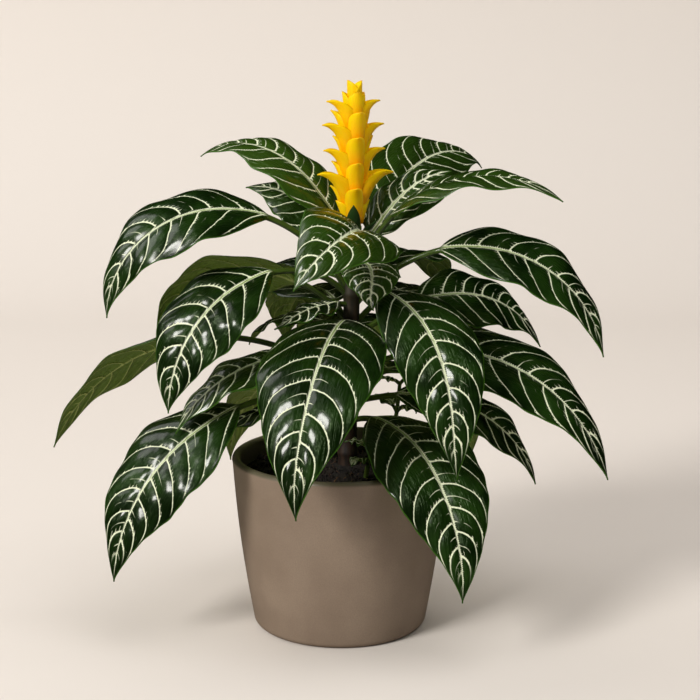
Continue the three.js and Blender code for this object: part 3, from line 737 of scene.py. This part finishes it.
pair, triple = 0, 1
bractForms = {
    "Young": (dict(length=17, rise=78, fall=66, bend=1.5, inset=6.6, radius=4.8, hollow=0.3, blunt=4),
              0, 0, pair),
    "Upright": (dict(length=26, rise=83, fall=42, bend=2.6, inset=8, radius=6.2, hollow=0.4, blunt=3.4),
                1, 7, triple),
    "Spread": (dict(length=33.5, rise=73, fall=2, bend=2.2, inset=7.2, radius=7, hollow=0.5), 2, 2, pair),
    "Curled": (dict(length=30.5, rise=77, fall=6, bend=2.3, inset=7.2, radius=6.8, hollow=0.5), 4, 6, pair),
    "Half open": (dict(length=28, rise=80, fall=8, bend=2.3, inset=6.8, radius=6.2, hollow=0.4), 8, 8, pair),
    "Bud": (dict(length=20.5, rise=88, fall=78, bend=2, inset=7, radius=5.8, hollow=0.1, blunt=4.5),
            9, 9, triple),
    "Tip": (dict(length=19.6, rise=90, fall=86, bend=2, inset=5, radius=5.4, hollow=0, blunt=5),
            10, 10, pair),
}


def bractMaterial():
    material, tree, finish = newMaterial("yellowBract")
    along, aside = attribute(tree, "run")[:2]
    drift = smoothly(tree, noise(tree, objectPlace(tree), spike["driftScale"], 2), 0.35, 0.7)
    # painted shade: each bract turns a deeper orange towards its foot, down in the crevices between the
    # bracts
    shade = blended(tree, smoothly(tree, along, 0.0, 0.75, 1.0, 0.0), spike["upper"], spike["lower"])
    shade = blended(tree, times(tree, drift, 0.25), shade, spike["drift"])
    shade = blended(tree, times(tree, smoothly(tree, along, 0.93, 1.0), 0.4), shade, spike["tip"])
    wire(tree, finish["Base Color"], shade)
    evenly(finish, spike["even"])
    streaks = noise(tree, merged(tree, times(tree, aside, 9.0), along, 0.0), 3.0, 3)
    wire(tree, finish["Normal"], bumped(tree, streaks, spike["relief"], 0.35))
    return material


def spikeCentre(z):
    foot = stemCentre(stem["top"][2])
    t = (z - foot[2]) / (spike["foot"] + spike["length"] - foot[2])
    return np.array([foot[0] + spike["lean"] * t, foot[1], z])


def boat(name, length, rise, fall, radius, inset, hollow, bend, cup=bract["cup"], blunt=2.6):
    # a boat-shaped bract that stands on its narrow end: it rises, and its tip turns outwards along +X
    rows, columns = bract["rows"], bract["columns"]
    t = np.linspace(0, 1, rows)
    middle = (t[:-1] + t[1:]) / 2
    stepSlope = (rise + (fall - rise) * middle ** bend) * degree
    slope = (rise + (fall - rise) * t ** bend) * degree
    stepX = np.cos(stepSlope) * np.diff(t) * length
    stepZ = np.sin(stepSlope) * np.diff(t) * length
    keel = np.stack([inset + np.concatenate([[0], np.cumsum(stepX)]), 0 * t,
                     np.concatenate([[0], np.cumsum(stepZ)])], -1)[:, None, :]
    inward = np.stack([-np.sin(slope), 0 * t, np.cos(slope)], -1)[:, None, :]
    aside = np.array([0, -1, 0])
    share = np.linspace(-1, 1, columns)[None, :]
    t = t[:, None]
    reach = cup * (0.65 + 0.35 * np.clip(t * 2.5, 0, 1)) * (1 - 0.55 * t * t)
    width = radius * np.maximum(0.05, 1 - np.abs((t - bract["widest"]) / (1 - bract["widest"])) ** blunt)
    wide = width / np.sin(np.minimum(reach, quarter))
    deep = wide * (1 - np.cos(reach))
    keelLine = bract["keel"] * np.exp(-(share / bract["keelWidth"]) ** 2) * np.sin(math.pi * t)
    outer = wide * (1 - np.cos(share * reach)) - keelLine
    ruffle = bract["ruffle"] * np.sin(9 * t + 2 * share) * share ** 4
    opened = hollow * np.clip((t - bract["hollowFrom"]) * 4, 0, 1) * (1 - share * share)
    inner = np.maximum(outer + bract["thickness"], deep * (1 - opened))
    lateral = keel + aside * (wide * np.sin(share * reach))[..., None]
    skin = lateral + inward * (outer + ruffle)[..., None]
    lining = lateral + inward * (inner + ruffle)[..., None]
    points, quads = closedSheet(lining, skin)[:2]
    run = np.stack(np.broadcast_arrays(t, share, 0.0), -1).reshape(-1, 3)
    return meshPiece(name, points, quads, {"run": np.tile(run, (2, 1))})


def whorlTree():
    # tiers of bracts up a leaning axis: a pair, then three between that pair and the next, and so on, so that
    # five bracts make two tiers
    takes = [(shape, "NodeSocketObject") for shape in bractForms]
    takes += [("Bracts", "NodeSocketInt"), ("Step", number), ("Tier foot", number), ("Pair turn", number),
              ("Triple turn", number), ("Core", number), ("Height", number), ("Lean", number),
              ("Looseness", number), ("Seed", "NodeSocketInt"), ("Finish", "NodeSocketMaterial")]
    tree, given, result = newModifierTree("Bract whorls", takes)
    line = step(tree, "GeometryNodeMeshLine", {"Count": given["Bracts"], "Offset": (0, 0, 0)})["Mesh"]
    index = step(tree, "GeometryNodeInputIndex", {})[0]
    inGroup = maths(tree, "MODULO", index, 5)
    inTriple = maths(tree, "GREATER_THAN", inGroup, 1.5)
    tier = times(tree, maths(tree, "FLOOR", maths(tree, "DIVIDE", index, 5)), 2)
    tier = maths(tree, "ADD", tier, inTriple)
    height = fused(tree, maths(tree, "SUBTRACT", tier, 1), given["Step"], given["Tier foot"])
    height = maths(tree, "MAXIMUM", height, mm)
    shift = times(tree, maths(tree, "DIVIDE", height, given["Height"]), given["Lean"])
    place = merged(tree, shift, 0.0, height)
    moved = step(tree, "GeometryNodeSetPosition", {"Geometry": line, "Position": place})
    pairTurn = fused(tree, inGroup, math.pi, given["Pair turn"])
    inThree = maths(tree, "SUBTRACT", inGroup, 2)
    tripleTurn = fused(tree, inThree, 2 * math.pi / 3, given["Triple turn"])
    turn = maths(tree, "ADD", pairTurn, times(tree, maths(tree, "SUBTRACT", tripleTurn, pairTurn), inTriple))
    jitter = step(tree, "FunctionNodeRandomValue", {0: (-1, -1, -1), "Seed": given["Seed"]},
                  data_type="FLOAT_VECTOR")
    loose = parted(tree, jitter[0])
    spin = merged(tree, times(tree, loose[0], given["Looseness"]), times(tree, loose[1], given["Looseness"]),
                  fused(tree, loose[2], given["Looseness"], turn))
    stretch = fused(tree, loose[1], 0.05, 1.0)
    core = step(tree, "GeometryNodeMeshCone", {"Vertices": 24, "Radius Bottom": given["Core"],
                                               "Radius Top": times(tree, given["Core"], 0.4),
                                               "Depth": times(tree, given["Height"], 0.9)})
    together = tree.nodes.new("GeometryNodeJoinGeometry")
    wire(tree, together.inputs["Geometry"], core["Mesh"])
    for shape, (form, first, last, kind) in bractForms.items():
        source = step(tree, "GeometryNodeObjectInfo", {"Object": given[shape]})
        chosen = times(tree, maths(tree, "GREATER_THAN", tier, first - 0.5),
                       maths(tree, "LESS_THAN", tier, last + 0.5))
        chosen = times(tree, chosen, maths(tree, "COMPARE", inTriple, kind, 0.1))
        copies = step(tree, "GeometryNodeInstanceOnPoints", {
            "Points": moved["Geometry"], "Selection": chosen, "Instance": source["Geometry"],
            "Rotation": spin, "Scale": merged(tree, stretch, stretch, stretch)})
        wire(tree, together.inputs["Geometry"], copies["Instances"])
    finished(tree, together.outputs["Geometry"], given["Finish"], result)
    return tree


def spikePiece():
    bracts = {shape: boat(shape.replace(" ", "") + "Shape", **rows[0]) for shape, rows in bractForms.items()}
    host = linked("spikeHost", bpy.data.meshes.new("spikeHost"))
    modifier = host.modifiers.new("whorls", "NODES")
    modifier.node_group = whorlTree()
    pairs, threes = (spike["tiers"] + 1) // 2, spike["tiers"] // 2
    setInputs(modifier, {**bracts, "Bracts": 2 * pairs + 3 * threes, "Step": spike["step"] * mm,
                         "Tier foot": spike["tierFoot"] * mm, "Pair turn": spike["pairTurn"] * degree,
                         "Triple turn": spike["tripleTurn"] * degree, "Core": spike["core"] * mm,
                         "Height": spike["length"] * mm, "Lean": spike["lean"] * mm,
                         "Looseness": spike["looseness"], "Seed": spike["seed"], "Finish": bractMaterial()})
    piece = hardened(host, "flowerSpike")
    for shape in bracts.values():
        bpy.data.objects.remove(shape)
    piece.data.transform(Matrix.Translation((spikeCentre(spike["foot"]) * mm).tolist()))
    return grown(piece, "spike", slot="yellow_bract")


spikePiece()
print("spike made")

# Green bracts and the joint that carries the spike

collar = {
    "foot": 271.3, "top": 279.7, "radius": 5.6, "rings": 8, "sides": 32, "turns": (-90, -4, 90, 206),
    "bractsAbove": 2,
    "front": dict(length=27, rise=20, fall=84), "side": dict(length=16, rise=8, fall=62),
    "shape": dict(inset=4.4, bend=0.6, radius=4.6, cup=1.1, hollow=0.0),
}


def greenBractPiece():
    heights = np.linspace(collar["foot"], collar["top"], collar["rings"])
    radii = np.full(collar["rings"], collar["radius"])
    seat = Matrix.Translation((spikeCentre(collar["foot"] + collar["bractsAbove"]) * mm).tolist())
    parts = [tube([spikeCentre(z) for z in heights], radii, collar["sides"], "collarTube")]
    for k, turn in enumerate(collar["turns"]):
        leaf = boat("greenBoat", **collar["side" if k % 2 else "front"], **collar["shape"])
        leaf.data.transform(seat @ Matrix.Rotation(turn * degree, 4, "Z"))
        parts.append(leaf)
    piece = joined(parts, "spikeCollar")
    piece.data.materials.clear()
    piece.data.materials.append(greenBract)
    return grown(piece, "green_bracts", slot="green_bract")


greenBractPiece()

# Pot

pot = {
    "height": 121, "topRadius": 75, "footRadius": 60, "bulge": 2, "footRound": 5, "wall": 6, "floor": 8,
    "wallFrom": 8, "innerFrom": 16, "corner": 5, "sides": 200,
    "paleClay": linear(148, 130, 112), "darkClay": linear(134, 116, 99), "speck": linear(108, 92, 78),
    "glaze": linear(98, 92, 74), "specks": 1500.0, "drift": 22.0, "speckShare": 0.28,
    "lipFrom": 3.2, "lipTo": 1.2, "innerSlope": 0.124, "innerFoot": 56.5, "glazeFrom": 7,
    "roughness": 0.58, "glazeRoughness": 0.34, "relief": 0.0002,
}


def stonewareMaterial():
    # bare clay outside, and a thin glaze over the lip and inside
    material, tree, finish = newMaterial("stoneware")
    place = objectPlace(tree)
    x, y, z = parted(tree, place)
    mottle = placed(tree, speckle, Place=place, Grain=pot["specks"], Drift=pot["drift"])
    clay = blended(tree, mottle["Broad"], pot["darkClay"], pot["paleClay"])
    clay = blended(tree, times(tree, mottle["Fine"], pot["speckShare"]), clay, pot["speck"])
    lip = smoothly(tree, z, (pot["height"] - pot["lipFrom"]) * mm, (pot["height"] - pot["lipTo"]) * mm)
    radius = maths(tree, "SQRT", maths(tree, "ADD", maths(tree, "POWER", x, 2), maths(tree, "POWER", y, 2)))
    atFoot = maths(tree, "SUBTRACT", radius, times(tree, z, pot["innerSlope"]))
    inside = times(tree, maths(tree, "LESS_THAN", atFoot, pot["innerFoot"] * mm),
                   maths(tree, "GREATER_THAN", z, pot["glazeFrom"] * mm))
    glazed = maths(tree, "MAXIMUM", lip, inside)
    wire(tree, finish["Base Color"], blended(tree, glazed, clay, pot["glaze"]))
    roughness = smoothly(tree, glazed, 0.0, 1.0, pot["roughness"], pot["glazeRoughness"])
    wire(tree, finish["Roughness"], roughness)
    wire(tree, finish["Normal"], bumped(tree, mottle["Height"], pot["relief"], 0.5))
    return material


def potWallRadius(z):
    t = z / pot["height"]
    return mix(pot["footRadius"], pot["topRadius"], t) + pot["bulge"] * math.sin(math.pi * t)


def potPiece():
    profile = [(0, 0)]
    footRound, lip = pot["footRound"], pot["wall"] / 2
    for turn in np.linspace(0, quarter, 9):
        middle = potWallRadius(footRound) - footRound
        profile.append((middle + footRound * math.sin(turn), footRound * (1 - math.cos(turn))))
    for z in np.linspace(pot["wallFrom"], pot["height"] - lip - 2, 24):
        profile.append((potWallRadius(z), z))
    for turn in np.linspace(0, math.pi, 17):
        across, up = lip * math.cos(turn) - lip, lip * math.sin(turn) - lip
        profile.append((pot["topRadius"] + across, pot["height"] + up))
    for z in np.linspace(pot["height"] - lip - 4, pot["innerFrom"], 12):
        profile.append((potWallRadius(z) - pot["wall"], z))
    inner = potWallRadius(pot["floor"]) - pot["wall"] - pot["corner"]
    profile += [(inner, pot["floor"]), (0, pot["floor"])]
    piece = turned(profile, pot["sides"], "plantPot")
    piece.data.materials.append(stonewareMaterial())
    return grown(piece, "pot", slot="stoneware")


potPiece()

# Soil: the CAD solid stays, and crumbs, clods and fibres lie on it. Densities are per square metre.

soil = {
    "top": 107, "mound": 5, "lump": 1.2, "radius": 66.0, "middle": 4, "rings": 34, "sides": 96,
    "dark": linear(12, 9, 7), "pale": linear(32, 23, 15), "fleck": linear(30, 21, 15), "grain": 600.0,
    "drift": 120.0, "fleckShare": 0.5, "relief": 0.001, "even": {"Roughness": 0.95},
    "darkFibre": linear(50, 34, 22), "paleFibre": linear(112, 80, 50), "fibreEven": {"Roughness": 0.9},
    "crumbSeed": 3, "fibreRadius": 0.22,
}


def soilMaterial():
    material, tree, finish = newMaterial("pottingSoil")
    grain = placed(tree, speckle, Place=objectPlace(tree), Grain=soil["grain"], Drift=soil["drift"])
    ground = blended(tree, grain["Broad"], soil["dark"], soil["pale"])
    fleck = times(tree, grain["Fine"], soil["fleckShare"])
    wire(tree, finish["Base Color"], blended(tree, fleck, ground, soil["fleck"]))
    evenly(finish, soil["even"])
    wire(tree, finish["Normal"], bumped(tree, grain["Height"], soil["relief"], 0.8))
    return material


def fibreMaterial():
    material, tree, finish = newMaterial("soilFibre")
    bits = smoothly(tree, noise(tree, objectPlace(tree), 150, 2), 0.3, 0.7)
    wire(tree, finish["Base Color"], blended(tree, bits, soil["darkFibre"], soil["paleFibre"]))
    evenly(finish, soil["fibreEven"])
    return material


def soilHeight(x, y):
    far = np.hypot(x, y) / pot["topRadius"]
    lump = np.sin(x * 0.21 + 1) * np.sin(y * 0.24) + 0.6 * np.sin(x * 0.43 + y * 0.37 + 2)
    return soil["top"] + soil["mound"] * (1 - far * far) + soil["lump"] * lump


def soilSkin(name, lift):
    # an open disc that follows the soil, for the scatter to stand on
    rings, sides = soil["rings"], soil["sides"]
    radii = np.linspace(soil["middle"], soil["radius"], rings)[:, None]
    angles = (np.arange(sides) * 2 * math.pi / sides)[None, :]
    x, y = radii * np.cos(angles), radii * np.sin(angles)
    points = np.stack([x, y, soilHeight(x, y) + lift], -1).reshape(-1, 3)
    at = np.arange(rings * sides).reshape(rings, sides)
    quads = np.stack([at[:-1], at[1:], np.roll(at[1:], -1, 1), np.roll(at[:-1], -1, 1)], -1).reshape(-1, 4)
    return meshPiece(name, points, quads)


def scatterTree():
    takes = [("Shape", "NodeSocketObject"), ("Density", number), ("Smallest", number), ("Largest", number),
             ("Seed", "NodeSocketInt"), ("Finish", "NodeSocketMaterial")]
    tree, given, result = newModifierTree("Soil scatter", takes)
    spread = step(tree, "GeometryNodeDistributePointsOnFaces",
                  {"Mesh": given["Geometry"], "Density": given["Density"], "Seed": given["Seed"]})
    source = step(tree, "GeometryNodeObjectInfo", {"Object": given["Shape"]})
    spin = step(tree, "FunctionNodeRandomValue", {1: (2 * math.pi,) * 3, "Seed": given["Seed"]},
                data_type="FLOAT_VECTOR")
    sizes = {2: given["Smallest"], 3: given["Largest"], "Seed": maths(tree, "ADD", given["Seed"], 1)}
    size = step(tree, "FunctionNodeRandomValue", sizes, data_type="FLOAT")
    copies = step(tree, "GeometryNodeInstanceOnPoints", {
        "Points": spread["Points"], "Instance": source["Geometry"], "Rotation": spin[0], "Scale": size[1]})
    finished(tree, copies["Instances"], given["Finish"], result)
    return tree


def crumb():
    build = bmesh.new()
    bmesh.ops.create_icosphere(build, subdivisions=1, radius=mm)
    rng = np.random.default_rng(soil["crumbSeed"])
    for vert in build.verts:
        vert.co *= float(rng.uniform(0.75, 1.2))
    return smoothPiece(build, "crumb")


def fibre():
    steps = np.linspace(0, 1, 5)
    centres = [np.array([6 * t - 3, 1.6 * math.sin(3 * t), 0.8 * math.sin(5 * t)]) for t in steps]
    ring = [np.array([0, math.cos(turn), math.sin(turn)]) * soil["fibreRadius"] for turn in (0, 2.1, 4.2)]
    build = bmesh.new()
    skinned(build, [[build.verts.new((centre + side) * mm) for side in ring] for centre in centres])
    bmesh.ops.recalc_face_normals(build, faces=build.faces)
    return smoothPiece(build, "fibre")


scatter = scatterTree()
pottingSoil, soilFibre = soilMaterial(), fibreMaterial()
crumbShape, fibreShape = crumb(), fibre()

litter = {
    "soilCrumbs": {"Shape": crumbShape, "Density": 230000.0, "Smallest": 0.5, "Largest": 1.5, "Seed": 11,
                   "Finish": pottingSoil, "lift": 0.0},
    "soilClods": {"Shape": crumbShape, "Density": 16000.0, "Smallest": 1.4, "Largest": 2.8, "Seed": 12,
                  "Finish": pottingSoil, "lift": -0.4},
    "soilFibres": {"Shape": fibreShape, "Density": 22000.0, "Smallest": 0.4, "Largest": 1.1, "Seed": 13,
                   "Finish": soilFibre, "lift": 0.6},
}

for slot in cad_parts["soil"].material_slots:
    slot.material = pottingSoil
for name, values in litter.items():
    host = soilSkin(name + "Host", values["lift"])
    modifier = host.modifiers.new("scatter", "NODES")
    modifier.node_group = scatter
    setInputs(modifier, values)
    piece = hardened(host, name)
    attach(piece, "root")
bpy.data.objects.remove(crumbShape)
bpy.data.objects.remove(fibreShape)
print("pot and soil made")

# Floor, light and camera, in metres

studio = {
    "paper": {"Base Color": linear(226, 219.5, 213), "Roughness": 0.8, "Specular IOR Level": 0.2},
    "air": {"Color": (1.0, 0.96, 0.9, 1.0), "Strength": 0.15}, "halfWidth": 3.5, "front": -2.6,
    "back": 1.1, "curve": 0.5, "top": 3.2,
}

lamps = {
    "keyLight": dict(place=(-2.9, -2.9, 2.8), aim=(0, 0.1, 0.15), size=1.6, power=190,
                     tint=(1.0, 0.97, 0.93)),
    "ceilingLight": dict(place=(0.8, -0.5, 2.9), aim=(0.1, 0.3, 0), size=2.6, power=36,
                         tint=(1.0, 0.98, 0.96), glossy=False),
    "windowLight": dict(place=(-1.9, 0.5, 1.9), aim=(0, 0, 0.2), size=1.4, power=12,
                        tint=(1.0, 0.98, 0.96)),
}

camera = {"place": (0, -1.11, 0.43), "pitch": 12, "lens": 85, "sensor": 36, "shift": 10 / 700, "near": 0.05}


def backdrop():
    # a floor that sweeps up behind
    back, curve = studio["back"], studio["curve"]
    profile = [(studio["front"], 0.0), (back, 0.0)]
    for turn in np.linspace(0, quarter, 13)[1:]:
        profile.append((back + curve * math.sin(turn), curve * (1 - math.cos(turn))))
    profile.append((back + curve, studio["top"]))
    points = [(x, y, z) for y, z in profile for x in (-studio["halfWidth"], studio["halfWidth"])]
    faces = [(2 * i, 2 * i + 1, 2 * i + 3, 2 * i + 2) for i in range(len(profile) - 1)]
    mesh = bpy.data.meshes.new("studioSweep")
    mesh.from_pydata(points, [], faces)
    mesh.shade_smooth()
    material, tree, finish = newMaterial("studioPaper")
    evenly(finish, studio["paper"])
    mesh.materials.append(material)
    sweep = linked("studioSweep", mesh)
    sweep.visible_glossy = False


def lamp(name, place, aim, size, power, tint, glossy=True):
    data = bpy.data.lights.new(name, "AREA")
    data.shape = "DISK"
    data.size = size
    data.energy = power
    data.color = tint
    light = linked(name, data)
    light.location = place
    light.rotation_euler = (Vector(aim) - light.location).to_track_quat("-Z", "Y").to_euler()
    light.visible_glossy = glossy


# the paper, the air and the lamp overhead don't mirror in the glossy leaves, where they would lie as a veil
backdrop()
world = bpy.data.worlds.new("studioWorld")
world.use_nodes = True
evenly(world.node_tree.nodes["Background"].inputs, studio["air"])
world.cycles_visibility.glossy = False
scene = bpy.context.scene
scene.world = world
for name, values in lamps.items():
    lamp(name, **values)
scene.view_settings.view_transform = "Standard"
scene.view_settings.look = "None"

view = linked("camera", bpy.data.cameras.new("camera"))
view.location = camera["place"]
view.rotation_euler = ((90 - camera["pitch"]) * degree, 0, 0)
view.data.lens = camera["lens"]
view.data.sensor_width = camera["sensor"]
view.data.shift_x = camera["shift"]
view.data.clip_start = camera["near"]
scene.camera = view
